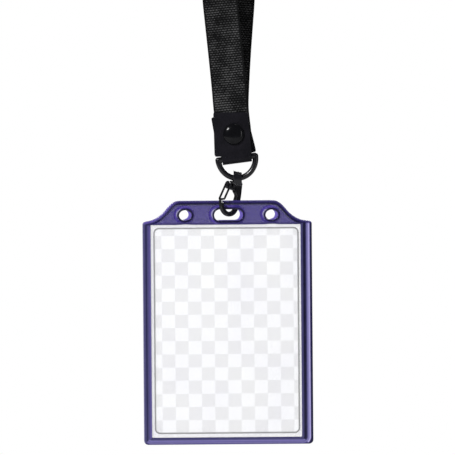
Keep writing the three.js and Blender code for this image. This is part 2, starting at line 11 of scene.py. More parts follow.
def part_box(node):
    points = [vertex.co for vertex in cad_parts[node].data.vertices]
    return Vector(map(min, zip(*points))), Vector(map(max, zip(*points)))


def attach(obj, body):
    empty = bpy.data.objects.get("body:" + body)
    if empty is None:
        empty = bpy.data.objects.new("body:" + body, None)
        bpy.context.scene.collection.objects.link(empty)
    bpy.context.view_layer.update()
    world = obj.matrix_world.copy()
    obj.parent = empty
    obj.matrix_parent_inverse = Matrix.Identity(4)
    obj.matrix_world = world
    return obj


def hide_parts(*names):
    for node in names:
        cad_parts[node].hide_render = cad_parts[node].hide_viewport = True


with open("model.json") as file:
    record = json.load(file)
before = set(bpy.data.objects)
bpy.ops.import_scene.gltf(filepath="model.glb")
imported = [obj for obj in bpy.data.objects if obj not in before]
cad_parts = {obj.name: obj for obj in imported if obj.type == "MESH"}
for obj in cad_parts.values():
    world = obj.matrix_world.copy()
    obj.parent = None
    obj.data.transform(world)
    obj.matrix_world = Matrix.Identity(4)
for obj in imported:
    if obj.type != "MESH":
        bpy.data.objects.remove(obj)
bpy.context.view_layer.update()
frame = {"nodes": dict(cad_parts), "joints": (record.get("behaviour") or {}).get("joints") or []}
MM = 0.001

# ---------------------------------------------------------------------------------------------
# Camera, lights and stage

scene = bpy.context.scene
scene.view_settings.view_transform = "Standard"
scene.view_settings.look = "None"

CAMERA_DISTANCE = 2.6
VIEW_WIDTH = 0.2316
SENSOR = 36  # mm
ROLL = math.radians(0.45)
VIEW_CENTRE = Vector((0.0002, 0, -0.1392))
LIGHT_TARGET = (0, 0, -0.14)
WORLD_GLOW = 0.13


def make_camera():
    data = bpy.data.cameras.new("camera")
    data.sensor_width = SENSOR
    data.lens = SENSOR * CAMERA_DISTANCE / VIEW_WIDTH
    data.clip_start = 0.05
    data.clip_end = 60
    data.dof.use_dof = False
    camera = bpy.data.objects.new("camera", data)
    scene.collection.objects.link(camera)
    turn = Matrix.Rotation(ROLL, 4, "Y") @ Matrix.Rotation(math.pi / 2, 4, "X")
    camera.matrix_world = Matrix.Translation(VIEW_CENTRE + Vector((0, -CAMERA_DISTANCE, 0))) @ turn
    scene.camera = camera


def area_light(name, place, size, power):
    data = bpy.data.lights.new(name, "AREA")
    data.shape = "RECTANGLE"
    data.size, data.size_y = size
    data.energy = power
    light = bpy.data.objects.new(name, data)
    scene.collection.objects.link(light)
    light.location = place
    light.rotation_mode = "QUATERNION"
    light.rotation_quaternion = (Vector(LIGHT_TARGET) - Vector(place)).to_track_quat("-Z", "Y")


def make_lights():
    area_light("key", (-0.85, -1.35, 0.75), (0.34, 0.34), 29)
    area_light("fill", (1.3, -1.2, -0.05), (0.25, 1.0), 4)
    area_light("top", (0.1, 0.2, 1.3), (0.9, 0.5), 5)
    area_light("rear", (0.5, 1.5, 0.6), (0.9, 0.9), 16)


def make_world():
    world = bpy.data.worlds.new("studio")
    scene.world = world
    world.use_nodes = True
    tree = world.node_tree
    tree.nodes.clear()
    out = tree.nodes.new("ShaderNodeOutputWorld")
    seen = tree.nodes.new("ShaderNodeBackground")
    seen.inputs["Color"].default_value = (1, 1, 1, 1)
    lit = tree.nodes.new("ShaderNodeBackground")
    lit.inputs["Color"].default_value = (0.96, 0.97, 1, 1)
    lit.inputs["Strength"].default_value = WORLD_GLOW
    path = tree.nodes.new("ShaderNodeLightPath")
    mix = tree.nodes.new("ShaderNodeMixShader")
    tree.links.new(path.outputs["Is Camera Ray"], mix.inputs[0])
    tree.links.new(lit.outputs[0], mix.inputs[1])
    tree.links.new(seen.outputs[0], mix.inputs[2])
    tree.links.new(mix.outputs[0], out.inputs["Surface"])


make_camera()
make_lights()
make_world()

# ---------------------------------------------------------------------------------------------
# Material helpers


class Nodes:
    """A material's node tree, with short calls to add to it."""

    def __init__(self, name):
        self.material = bpy.data.materials.new(name)
        self.material.use_nodes = True
        self.tree = self.material.node_tree
        self.shader = self.tree.nodes["Principled BSDF"]

    def add(self, kind, **values):
        node = self.tree.nodes.new(kind)
        for key, value in values.items():
            if hasattr(node, key):
                setattr(node, key, value)
            else:
                node.inputs[key.replace("_", " ")].default_value = value
        return node

    def link(self, a, b):
        self.tree.links.new(a, b)

    def set(self, **values):
        for key, value in values.items():
            self.shader.inputs[key.replace("_", " ")].default_value = value

    def object_place(self):
        return self.add("ShaderNodeTexCoord").outputs["Object"]

    def noise(self, scale, detail=3.0, rough=0.55, stretch=None):
        node = self.add("ShaderNodeTexNoise", Scale=scale, Detail=detail, Roughness=rough)
        source = self.object_place()
        if stretch:
            mapping = self.add("ShaderNodeMapping")
            mapping.inputs["Scale"].default_value = stretch
            self.link(source, mapping.inputs["Vector"])
            source = mapping.outputs[0]
        self.link(source, node.inputs["Vector"])
        return node.outputs["Fac"]

    def ramp(self, value, stops):
        node = self.add("ShaderNodeValToRGB")
        elements = node.color_ramp.elements
        while len(elements) < len(stops):
            elements.new(0.5)
        for element, (at, colour) in zip(elements, stops):
            element.position = at
            element.color = (*colour, 1)
        self.link(value, node.inputs["Fac"])
        return node.outputs["Color"]

    def scaled(self, value, low, high, from_low=0.0, from_high=1.0):
        node = self.add("ShaderNodeMapRange")
        node.inputs["From Min"].default_value = from_low
        node.inputs["From Max"].default_value = from_high
        node.inputs["To Min"].default_value = low
        node.inputs["To Max"].default_value = high
        self.link(value, node.inputs["Value"])
        return node.outputs["Result"]

    def math(self, operation, a, b):
        node = self.add("ShaderNodeMath", operation=operation)
        for socket, value in zip(node.inputs, (a, b)):
            if isinstance(value, (int, float)):
                socket.default_value = value
            else:
                self.link(value, socket)
        return node.outputs[0]

    def mixed(self, factor, a, b):
        node = self.add("ShaderNodeMix", data_type="RGBA")
        for socket, value in ((node.inputs[0], factor), (node.inputs[6], a), (node.inputs[7], b)):
            if isinstance(value, (int, float)):
                socket.default_value = value
            elif isinstance(value, tuple):
                socket.default_value = (*value, 1)
            else:
                self.link(value, socket)
        return node.outputs[2]

    def bump(self, height, strength, distance):
        node = self.add("ShaderNodeBump", Strength=strength, Distance=distance)
        self.link(height, node.inputs["Height"])
        self.link(node.outputs[0], self.shader.inputs["Normal"])

    def colour(self, socket):
        self.link(socket, self.shader.inputs["Base Color"])

    def rough(self, socket):
        self.link(socket, self.shader.inputs["Roughness"])


def attribute(nodes, name, output="Color"):
    return nodes.add("ShaderNodeAttribute", attribute_name=name).outputs[output]


# ---------------------------------------------------------------------------------------------
# Number helpers


def smoothstep(low, high, value):
    t = np.clip((value - low) / (high - low), 0, 1)
    return t * t * (3 - 2 * t)


def band(value, centre, width):
    return np.exp(-((value - centre) / width) ** 2)


def wave(x, z, seed):
    return np.array([noise.noise((a * 0.045, b * 0.045, seed)) for a, b in zip(x, z)])


# ---------------------------------------------------------------------------------------------
# Mesh helpers


def piece(name, mesh, body, nodes):
    obj = bpy.data.objects.new(name, mesh)
    scene.collection.objects.link(obj)
    mesh.polygons.foreach_set("use_smooth", [True] * len(mesh.polygons))
    mesh.update()
    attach(obj, body)
    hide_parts(*nodes)
    return obj


def mesh_from(name, points, faces):
    mesh = bpy.data.meshes.new(name)
    mesh.from_pydata([tuple(p) for p in points], [], [tuple(f) for f in faces])
    mesh.validate()
    mesh.update()
    return mesh


def face_outward(mesh):
    bm = bmesh.new()
    bm.from_mesh(mesh)
    bmesh.ops.recalc_face_normals(bm, faces=bm.faces)
    bm.to_mesh(mesh)
    bm.free()


def coordinates(mesh):
    co = np.zeros(len(mesh.vertices) * 3)
    mesh.vertices.foreach_get("co", co)
    return co.reshape(-1, 3)


def move_points(mesh, co):
    mesh.vertices.foreach_set("co", co.ravel())
    mesh.update()


def softened(name, node, body, voxel, rounds):
    """A finer copy of a CAD node with its edges rounded, which stands for it."""
    mesh = frame["nodes"][node].data.copy()
    mesh.materials.clear()
    bm = bmesh.new()
    bm.from_mesh(mesh)
    bmesh.ops.remove_doubles(bm, verts=bm.verts, dist=1e-7)
    bm.to_mesh(mesh)
    bm.free()
    obj = bpy.data.objects.new(name + "_work", mesh)
    scene.collection.objects.link(obj)
    remesh = obj.modifiers.new("remesh", "REMESH")
    remesh.mode = "VOXEL"
    remesh.voxel_size = voxel
    remesh.adaptivity = 0
    smooth = obj.modifiers.new("smooth", "SMOOTH")
    smooth.factor = 0.5
    smooth.iterations = rounds
    depsgraph = bpy.context.evaluated_depsgraph_get()
    made = bpy.data.meshes.new_from_object(obj.evaluated_get(depsgraph))
    made.name = name
    bpy.data.objects.remove(obj)
    return piece(name, made, body, [node])


def set_colours(mesh, name, colours):
    layer = mesh.color_attributes.new(name, "FLOAT_COLOR", "POINT")
    values = np.ones((len(mesh.vertices), 4), np.float32)
    values[:, :3] = colours
    layer.data.foreach_set("color", values.ravel())


def set_values(mesh, name, values):
    layer = mesh.attributes.new(name, "FLOAT", "POINT")
    layer.data.foreach_set("value", values.astype(np.float32))


# ---------------------------------------------------------------------------------------------
# Neck strap: ribbed webbing, with its ribs in the mesh

STRAP_ROUTE = [
    (4.7, -0.75, -99.4), (3.5, -0.75, -89), (2.4, -0.8, -78.4), (1.4, -1.7, -66), (-0.1, -4.0, -50),
    (-1.5, -7.2, -36), (-2.7, -10.3, -23.4), (-3.2, -12.0, -13), (-2.6, -10.6, -5.6), (-1.5, -6.2, -1.3),
    (0.8, 0, 0), (3.2, 6.2, -1.3), (5.6, 10.6, -5.6), (6.5, 12.0, -13), (6.1, 10.3, -23.4),
    (5.1, 7.2, -36), (4.0, 4.0, -50), (3.0, 1.7, -66), (2.6, 0.8, -78.4), (3.6, 0.75, -89),
    (4.7, 0.75, -99.4),
]
STRAP_WIDTH = 18.0
STRAP_THICK = 1.2
RIB_PITCH = 1.2
KNOT_PITCH = 1.5
RIB_HEIGHT = 0.17
SELVEDGE = 1.0
YARN_PITCH = 0.62
THREAD_PITCH = 0.3
# the span of the weave_place attribute, across and along
PLACE_ACROSS = 20
PLACE_ALONG = 250


def between(s, start, end, a, b):
    return (end - s) / (end - start) * a + (s - start) / (end - start) * b


def centripetal(points, per_span):
    """A centripetal Catmull-Rom curve through the points."""
    p = np.array(points, float)
    p = np.vstack([2 * p[0] - p[1], p, 2 * p[-1] - p[-2]])
    out = []
    for i in range(1, len(p) - 2):
        q = p[i - 1:i + 3]
        t = np.concatenate([[0], np.cumsum(np.linalg.norm(np.diff(q, axis=0), axis=1) ** 0.5)])
        for s in np.linspace(t[1], t[2], per_span, endpoint=False):
            a = [between(s, t[k], t[k + 1], q[k], q[k + 1]) for k in range(3)]
            b = [between(s, t[k], t[k + 2], a[k], a[k + 1]) for k in range(2)]
            out.append(between(s, t[1], t[2], b[0], b[1]))
    out.append(p[-2])
    return np.array(out)


def resampled(line, step):
    along = np.concatenate([[0], np.cumsum(np.linalg.norm(np.diff(line, axis=0), axis=1))])
    count = int(round(along[-1] / step))
    at = np.linspace(0, along[-1], count + 1)
    return np.stack([np.interp(at, along, line[:, k]) for k in range(3)], axis=1), at


def strap_section():
    """Points round the webbing: (across, through, normal across, normal through), in mm."""
    half, thick, arc = STRAP_WIDTH / 2 - RIB_HEIGHT, STRAP_THICK / 2 - RIB_HEIGHT, 5
    flat = np.linspace(-(half - thick), half - thick, 61)
    rows = [(x, thick, 0, 1) for x in flat]
    for k in range(1, arc):
        a = math.pi / 2 - math.pi * k / arc
        rows.append((half - thick + thick * math.cos(a), thick * math.sin(a), math.cos(a), math.sin(a)))
    rows += [(x, -thick, 0, -1) for x in flat[::-1]]
    for k in range(1, arc):
        a = -math.pi / 2 - math.pi * k / arc
        rows.append((-(half - thick) + thick * math.cos(a), thick * math.sin(a), math.cos(a), math.sin(a)))
    return np.array(rows)


def rib_share(x, along, front):
    """How far the weave stands up at a place on the webbing, from 0 to 1."""
    wobble = 0.10 * noise.noise((x * 0.22, along * 0.05, 3.0))
    wobble += 0.04 * noise.noise((x * 1.9, along * 0.4, 7.0))
    row = along / RIB_PITCH + (0.0 if front else 0.5) + wobble
    if abs(x) >= STRAP_WIDTH / 2 - SELVEDGE:
        return 0.45 + 0.15 * math.sin(4 * math.pi * row)
    rib = abs(math.sin(math.pi * row)) ** 0.8
    knot = abs(math.sin(math.pi * (x / KNOT_PITCH + 0.5 * (math.floor(row) % 2)))) ** 0.8
    rib *= 0.55 + 0.45 * knot + 0.25 * noise.noise((x * 0.8, math.floor(row) * 3.1, 11.0))
    return min(max(rib, 0), 1)


def make_strap():
    line, along = resampled(centripetal(STRAP_ROUTE, 40), 0.15)
    section = strap_section()
    tangent = np.gradient(line, axis=0)
    tangent /= np.linalg.norm(tangent, axis=1)[:, None]
    side = np.array([1.0, 0, 0]) - tangent * tangent[:, :1]
    side /= np.linalg.norm(side, axis=1)[:, None]
    up = np.cross(tangent, side)
    points, uv = [], []
    count = len(section)
    for i, s in enumerate(along):
        for j, (x, n, nx, nn) in enumerate(section):
            rib = rib_share(x, s, n > 0)
            lift = RIB_HEIGHT * rib
            points.append(line[i] + side[i] * (x + nx * lift) + up[i] * (n + nn * lift))
            uv.append((x, s, rib))
    faces = []
    for i in range(len(line) - 1):
        a, b = i * count, (i + 1) * count
        faces += [(a + j, a + (j + 1) % count, b + (j + 1) % count, b + j) for j in range(count)]
    last = (len(line) - 1) * count
    faces += [tuple(range(count - 1, -1, -1)), tuple(last + j for j in range(count))]
    mesh = mesh_from("strap_webbing", np.array(points) * MM, faces)
    face_outward(mesh)
    places = [(x / PLACE_ACROSS + 0.5, s / PLACE_ALONG, r) for x, s, r in uv]
    set_colours(mesh, "weave_place", np.array(places))
    obj = piece("strap_webbing", mesh, "lanyard", ["neck_strap"])
    obj.data.materials.append(webbing_material())


def webbing_material():
    n = Nodes("webbing")
    place = attribute(n, "weave_place", "Vector")
    split = n.add("ShaderNodeSeparateXYZ")
    n.link(place, split.inputs[0])
    across = n.math("MULTIPLY", split.outputs[0], PLACE_ACROSS * 2 * math.pi / YARN_PITCH)
    along = n.math("MULTIPLY", split.outputs[1], PLACE_ALONG * 2 * math.pi / THREAD_PITCH)
    yarn = n.math("SINE", across, 0)
    thread = n.math("SINE", n.math("ADD", along, n.math("MULTIPLY", yarn, 0.9)), 0)
    fuzz = n.noise(2600, 4, 0.65)
    patch = n.noise(110, 3, 0.6)
    # painted highlight and shade: the raised ribs are lighter and the hollows between them darker, by how far
    # the weave stands up, in random patches
    lit = n.math("MULTIPLY", split.outputs[2], n.scaled(patch, 0.7, 1.25, 0.3, 0.75))
    grain = n.math("ADD", n.math("MULTIPLY", yarn, 0.05), n.scaled(fuzz, -0.12, 0.12))
    tone = n.math("ADD", lit, grain)
    stops = [(0.22, (0.0006, 0.0006, 0.0008)), (0.6, (0.0045, 0.0045, 0.005)), (1.0, (0.072, 0.072, 0.073))]
    n.colour(n.ramp(tone, stops))
    n.rough(n.scaled(fuzz, 0.62, 0.9))
    n.set(Sheen_Weight=0.03, Sheen_Roughness=0.4, Specular_IOR_Level=0.1)
    strands = n.math("ADD", n.math("MULTIPLY", yarn, 0.5), fuzz)
    height = n.math("ADD", n.math("MULTIPLY", thread, 0.3), strands)
    n.bump(height, 0.55, 0.00012)
    return n.material


# ---------------------------------------------------------------------------------------------
# Connector tab, ring, hook and gate


def tab_material():
    n = Nodes("tab")
    grain = n.noise(1500, 4, 0.6)
    patch = n.noise(160, 3, 0.6)
    worn = n.ramp(patch, [(0.35, (0.0022, 0.0020, 0.0038)), (0.75, (0.0065, 0.0058, 0.009))])
    n.colour(n.mixed(n.scaled(grain, 0.0, 0.35, 0.4, 0.8), worn, (0.012, 0.011, 0.016)))
    n.rough(n.scaled(grain, 0.34, 0.52))
    n.set(Specular_IOR_Level=0.12)
    n.bump(n.math("ADD", grain, n.math("MULTIPLY", patch, 1.5)), 0.25, 0.00015)
    return n.material


def black_metal(name, base, rough_low, rough_high, wear=0.25, gloss=0.3):
    n = Nodes(name)
    fine = n.noise(1900, 3, 0.6)
    patch = n.noise(240, 3, 0.6)
    pointed = n.add("ShaderNodeNewGeometry").outputs["Pointiness"]
    edge = n.math("MULTIPLY", n.scaled(pointed, 0, 1, 0.52, 0.6), fine)
    dark = n.ramp(patch, [(0.3, tuple(0.8 * c for c in base)), (0.8, tuple(1.6 * c for c in base))])
    n.colour(n.mixed(n.math("MULTIPLY", edge, wear), dark, (0.035, 0.035, 0.038)))
    n.rough(n.scaled(fine, rough_low, rough_high, 0.3, 0.7))
    n.set(Specular_IOR_Level=gloss, Coat_Weight=0.08, Coat_Roughness=0.1)
    n.bump(n.math("ADD", n.math("MULTIPLY", fine, 0.3), patch), 0.12, 0.0001)
    return n.material


TURNED_SIDES = 72


def turned(name, profile, centre, body, node):
    """A solid of revolution about Y from a closed (radius, y) profile, in mm."""
    points, faces, rings = [], [], []
    sides = TURNED_SIDES
    for r, y in profile:
        if r < 1e-6:
            rings.append([len(points)])
            points.append((centre[0], y, centre[1]))
            continue
        rings.append(list(range(len(points), len(points) + sides)))
        for k in range(sides):
            a = 2 * math.pi * k / sides
            points.append((centre[0] + r * math.cos(a), y, centre[1] + r * math.sin(a)))
    for a, b in zip(rings, rings[1:]):
        for k in range(sides):
            m = (k + 1) % sides
            if len(a) == 1:
                faces.append((a[0], b[k], b[m]))
            elif len(b) == 1:
                faces.append((a[k], b[0], a[m]))
            else:
                faces.append((a[k], b[k], b[m], a[m]))
    mesh = mesh_from(name, np.array(points) * MM, faces)
    face_outward(mesh)
    return piece(name, mesh, body, [node])


DOME_HEIGHT = 2.3
DOME_RIM = 0.5
POST_RADIUS = 1.1
BASE_HEIGHT = 1.1
BASE_HOLLOW = 1.9
TUBE_BORE = 1.4


def make_rivet(metal):
    low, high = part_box("rivet_cap")
    centre = ((low.x + high.x) / 2 / MM, (low.z + high.z) / 2 / MM)
    radius, crown, tip = (high.x - low.x) / 2 / MM, low.y / MM, high.y / MM
    seat = crown + DOME_HEIGHT
    profile = [(0, tip), (POST_RADIUS, tip), (POST_RADIUS, seat), (radius - DOME_RIM, seat)]
    profile += [(radius - 0.15, seat - 0.05), (radius, seat - 0.25), (radius, seat - DOME_RIM)]
    for k in range(1, 24):
        a = k / 24 * math.pi / 2
        dome = (DOME_HEIGHT - DOME_RIM) * math.sin(a)
        profile.append((radius * math.cos(a) ** 0.92, seat - DOME_RIM - dome))
    profile.append((0, crown))
    turned("rivet_dome", profile, centre, "lanyard", "rivet_cap").data.materials.append(metal)
    low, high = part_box("rivet_back")
    radius, crown, mouth = (high.x - low.x) / 2 / MM, high.y / MM, low.y / MM
    seat = crown - BASE_HEIGHT
    profile = [(0, crown - 0.12), (0.8, crown - 0.1), (1.5, crown)]
    for k in range(9):
        a = k / 8 * math.pi / 2
        r = BASE_HOLLOW + (radius - BASE_HOLLOW) * math.sin(a)
        profile.append((r, seat + 0.3 + 0.75 * math.cos(a)))
    profile += [(radius, seat + 0.1), (radius - 0.15, seat), (BASE_HOLLOW, seat)]
    profile += [(BASE_HOLLOW, mouth), (TUBE_BORE, mouth), (TUBE_BORE, seat + 0.2), (0, seat + 0.2)]
    turned("rivet_base", profile, centre, "lanyard", "rivet_back").data.materials.append(metal)


RING_TILT = math.radians(7)
FOOT_DROP = 0.45
SPINE_HALF = 1.2
SPINE_PUSH = 0.95


def bar_frame(points):
    """Across and up from the middle of the ring's tilted bar, in mm."""
    joint = next(j for j in frame["joints"] if j["name"] == "ring_swing")
    x = points[:, 0] / MM - joint["pos_m"][0] / MM
    z = points[:, 2] / MM - joint["pos_m"][2] / MM
    across = x * math.cos(RING_TILT) + z * math.sin(RING_TILT)
    up = -x * math.sin(RING_TILT) + z * math.cos(RING_TILT)
    return across, up


def lower_foot(mesh):
    """The strip's foot hangs down over the ring's bar at both ends of the fold."""
    co = coordinates(mesh)
    across, up = bar_frame(co)
    beside = smoothstep(7.35, 7.6, np.abs(across))
    near = 1 - smoothstep(2.2, 5.5, up)
    drop = (FOOT_DROP * beside * near) * smoothstep(1.2, 2.0, up)
    co[:, 2] -= drop * MM
    move_points(mesh, co)


def broaden_spine(mesh):
    """The cast spine is fuller than a plain plate, on its inner and outer edge."""
    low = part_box("hook_body")[0]
    co = coordinates(mesh)
    across = ((co[:, 0] + co[:, 1]) * math.sqrt(0.5) - (low.x + low.y) * math.sqrt(0.5)) / MM
    height = (co[:, 2] - low.z) / MM
    along = smoothstep(4.5, 8, height) * (1 - smoothstep(15.5, 18.0, height))
    halfway = np.median(across[height > 6])
    beside_mouth = across[(height > 8) & (height < 11)]
    spine = beside_mouth[beside_mouth > beside_mouth.mean()]
    middle = (spine.min() + spine.max()) / 2
    push = np.clip((across - middle) / SPINE_HALF, -1, 1) * SPINE_PUSH * MM
    push *= smoothstep(halfway, halfway + 0.5, across) * along * math.sqrt(0.5)
    co[:, 0] += push
    co[:, 1] += push
    move_points(mesh, co)


def make_hardware():
    tab = softened("tab_strip", "connector_tab", "lanyard", 0.00014, 3)
    lower_foot(tab.data)
    tab.data.materials.append(tab_material())
    ring = softened("ring_wire", "d_ring", "ring", 0.00018, 10)
    ring.data.materials.append(black_metal("ring_finish", (0.0045, 0.0043, 0.006), 0.16, 0.3))
    hook = softened("hook_cast", "hook_body", "hook", 0.00013, 3)
    broaden_spine(hook.data)
    hook.data.materials.append(black_metal("hook_finish", (0.0055, 0.0052, 0.0075), 0.18, 0.34, 0.4))
    gate = softened("gate_wire_bent", "wire_gate", "gate", 0.00011, 8)
    gate.data.materials.append(black_metal("gate_finish", (0.006, 0.006, 0.008), 0.2, 0.34, 0.3))
    make_rivet(black_metal("rivet_finish", (0.0035, 0.0035, 0.0045), 0.12, 0.2, 0.3, 0.1))


# ---------------------------------------------------------------------------------------------
# Card holder

FRAME_LOW, FRAME_HIGH = (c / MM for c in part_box("front_frame"))
SHEET_LOW, SHEET_HIGH = (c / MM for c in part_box("front_window"))
HOLDER_TOP = FRAME_HIGH.z
HOLDER_BOTTOM = FRAME_LOW.z
HOLDER_HALF = (FRAME_HIGH.x - FRAME_LOW.x) / 2
HOLDER_Y = (FRAME_LOW.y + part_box("rear_frame")[1].y / MM) / 2
SHEET_MARGIN = 1.5
# left, right, bottom and top of the opening in the frames
WINDOW = [
    SHEET_LOW.x + SHEET_MARGIN,
    SHEET_HIGH.x - SHEET_MARGIN,
    SHEET_LOW.z + SHEET_MARGIN,
    SHEET_HIGH.z - SHEET_MARGIN,
]
HEAD_X = -0.6
HEAD_DEPTH = 10.4
HEAD_BEND = 31.6
HEAD_REACH = 40.6
FOOT_CORNER = 2.2
HOLES_X = 0.8
HOLE_Z = HOLDER_TOP - 7.5
HOLE_SPACING = 22
HOLE_RADIUS = 2.9
SLOT_HALF = 7.3
# only in the looks: how far the welded layers have shifted and the soft edges lean
REAR_SHIFT = 1.6
REAR_LIFT = 0.5
ROUND_WIDER = 0.10
ROUND_LOWER = 0.08
LIP_LEAN = 0.5
SKIN_WAVE = 0.10


def bezier(a, b, c, d, count=16):
    t = np.linspace(0, 1, count + 1)[:, None]
    a, b, c, d = (np.array(p, float) for p in (a, b, c, d))
    return (1 - t) ** 3 * a + 3 * (1 - t) ** 2 * t * b + 3 * (1 - t) * t ** 2 * c + t ** 3 * d


def outer_outline():
    top, foot = HOLDER_TOP, HOLDER_TOP - HEAD_DEPTH
    x, z = HEAD_BEND, HOLDER_TOP - 5.6
    p = [(23.5, top), (27.5, top), (x - 2.4, z + 2.64), (x, z), (x + 2.4, z - 2.64)]
    p += [((x + HEAD_REACH) / 2 + 0.8, foot + 0.45), (HEAD_REACH, foot)]
    upper = np.vstack([bezier(p[6], p[5], p[4], p[3]), bezier(p[3], p[2], p[1], p[0])[1:]])
    right = upper + (HEAD_X, 0)
    left = (upper * (-1, 1) + (HEAD_X, 0))[::-1]
    h, b, r = HOLDER_HALF, HOLDER_BOTTOM, FOOT_CORNER
    arc = np.linspace(0, math.pi / 2, 7)
    corner_right = np.stack([h - r + r * np.sin(arc), b + r - r * np.cos(arc)], axis=1)
    corner_left = (corner_right * (-1, 1))[::-1]
    shoulder_right = [(h, foot - 1.8), (h - 0.5, foot - 0.6), (h - 1.4, foot - 0.2)]
    shoulder_left = [(-h + 1.4, foot - 0.2), (-h + 0.5, foot - 0.6), (-h, foot - 1.8)]
    return np.vstack([corner_right, shoulder_right, right, left, shoulder_left, corner_left])


def polygon_distance(points, polygon):
    best = np.full(len(points), 1e9)
    for a, b in zip(polygon, np.roll(polygon, -1, axis=0)):
        d = b - a
        t = np.clip(((points - a) @ d) / max(d @ d, 1e-12), 0, 1)
        best = np.minimum(best, np.linalg.norm(points - (a + t[:, None] * d), axis=1))
    return best


def window_distance(points):
    x0, x1, z0, z1 = WINDOW
    dx = np.maximum(np.maximum(x0 - points[:, 0], points[:, 0] - x1), 0)
    dz = np.maximum(np.maximum(z0 - points[:, 1], points[:, 1] - z1), 0)
    return np.hypot(dx, dz)


def hole_distance(points):
    x, z = points[:, 0] - HOLES_X, points[:, 1] - HOLE_Z
    rounds = np.hypot(np.abs(x) - HOLE_SPACING, z) - HOLE_RADIUS
    slot = np.hypot(np.maximum(np.abs(x) - (SLOT_HALF - HOLE_RADIUS), 0), z) - HOLE_RADIUS
    return np.minimum(rounds, slot)


# the vinyl's tones, linear, rounded from how the photo's violet edges look
# the lighter tones among these are painted highlights on the rounded beads and hole edges, GLINT the
# brightest; the darker ones are painted shade in the grooves, along the dark lines and on sides turned from
# the light; only PANEL and VIOLET are the vinyl's own violet
PALE_HIGHLIGHT = (0.34, 0.34, 0.44)
GLINT = (0.54, 0.52, 0.80)
HAZE_HIGHLIGHT = (0.30, 0.27, 0.50)
RIDGE_HIGHLIGHT = (0.23, 0.22, 0.41)
MIST_HIGHLIGHT = (0.20, 0.20, 0.32)
PANEL = (0.105, 0.09, 0.245)
VIOLET = (0.07, 0.07, 0.15)
PLUM_SHADE = (0.04, 0.038, 0.10)
SHADE = (0.02, 0.017, 0.08)
DEEP_SHADE = (0.009, 0.008, 0.04)
GROOVE_SHADE = (0.004, 0.004, 0.024)

# the painted light and shade across the rails' moulded beads: mm in from the edge, and the tone there; light
# bands are painted highlights on the rounded beads, dark bands painted shade in the grooves and on sides
# turned from the light
LEFT_RAIL = [(0, PALE_HIGHLIGHT), (0.5, VIOLET), (1.2, VIOLET), (1.7, DEEP_SHADE), (2.3, VIOLET), (3.2, PANEL), (3.75, MIST_HIGHLIGHT)]
RIGHT_RAIL = [
    (0, VIOLET), (0.8, VIOLET), (1.1, GROOVE_SHADE), (1.9, GROOVE_SHADE), (2.3, VIOLET), (2.8, RIDGE_HIGHLIGHT), (3.2, MIST_HIGHLIGHT),
    (3.8, GLINT), (4.05, MIST_HIGHLIGHT), (4.2, DEEP_SHADE),
]
BOTTOM_RAIL = [(0, PLUM_SHADE), (1.3, VIOLET), (1.8, RIDGE_HIGHLIGHT), (2.3, PANEL), (2.8, MIST_HIGHLIGHT), (3.2, PANEL), (3.7, PLUM_SHADE)]
HEAD_BEAD = [(0, MIST_HIGHLIGHT), (0.5, VIOLET), (1.0, PLUM_SHADE), (1.5, GROOVE_SHADE), (1.9, GROOVE_SHADE), (2.3, VIOLET), (2.8, PANEL)]
SHOULDER_BEAD = [(0, PALE_HIGHLIGHT), (0.8, MIST_HIGHLIGHT), (1.4, VIOLET), (1.8, DEEP_SHADE), (2.2, SHADE), (2.8, PANEL)]


def profile(distance, stops):
    at = [s[0] for s in stops]
    colours = np.array([s[1] for s in stops])
    return np.stack([np.interp(distance, at, colours[:, k]) for k in range(3)], axis=1)


